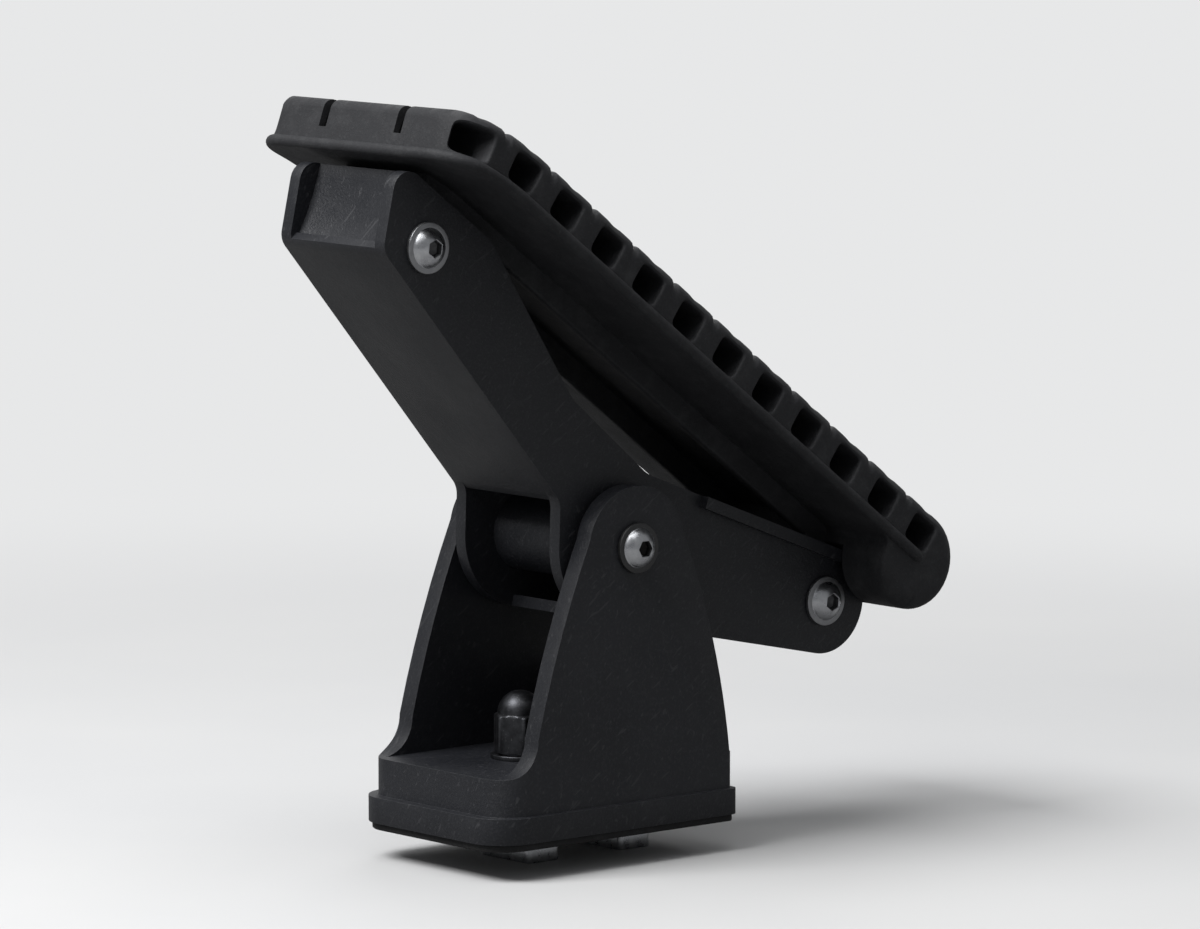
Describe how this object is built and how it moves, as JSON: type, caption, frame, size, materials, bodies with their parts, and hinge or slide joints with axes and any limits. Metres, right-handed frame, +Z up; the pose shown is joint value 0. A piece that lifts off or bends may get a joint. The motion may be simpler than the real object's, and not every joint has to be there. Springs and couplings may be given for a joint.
{
  "type": "kayak saddle carrier",
  "caption": "Roof rack saddle for a kayak hull: a flexible rubber pad hung between the arms of a rocking frame, which pivots on a clevis tower bolted to the crossbar.",
  "frame": {"origin": "on the crossbar's top, at the middle of the foot's underside", "axes": "+X along the crossbar towards the middle of the roof, +Y along the pivot bolt to its nut, +Z up"},
  "size_m": [0.1837, 0.086, 0.2058],
  "materials": {
    "moulding": "satin moulded, blue-black",
    "pad_rubber": "matt, slightly dusty",
    "underlay_rubber": "matt",
    "bolt_zinc": "bright zinc plate",
    "nut_zinc": "bright zinc plate",
    "black_zinc": "black zinc plate",
    "bush_nylon": "natural nylon",
    "insert_nylon": "blue nylon"
  },
  "bodies": {
    "base": {"tower_body": "moulding", "foot_underlay": "underlay_rubber", "channel_bolts": "bolt_zinc", "channel_washers": "black_zinc", "channel_cap_nuts": "black_zinc", "pivot_bolt": "bolt_zinc", "pivot_washers": "bolt_zinc", "pivot_lock_nut": "nut_zinc", "pivot_nut_ring": "insert_nylon", "pivot_sleeve": "bolt_zinc"},
    "saddle": {"pivot_bush_near": "bush_nylon", "pivot_bush_far": "bush_nylon", "saddle_frame": "moulding", "saddle_pad": "pad_rubber", "pad_screws": "bolt_zinc", "pad_washers": "bolt_zinc", "pad_lock_nuts": "nut_zinc", "pad_nut_rings": "insert_nylon", "pad_sleeve_upper": "bolt_zinc", "pad_sleeve_lower": "bolt_zinc"}
  },
  "joints": [
    {"name": "saddle_tilt", "type": "hinge", "parent": "base", "child": "saddle", "pos_m": [0, 0, 0.077], "axis": [0, 1, 0], "range_deg": [-37, 15]}
  ]
}
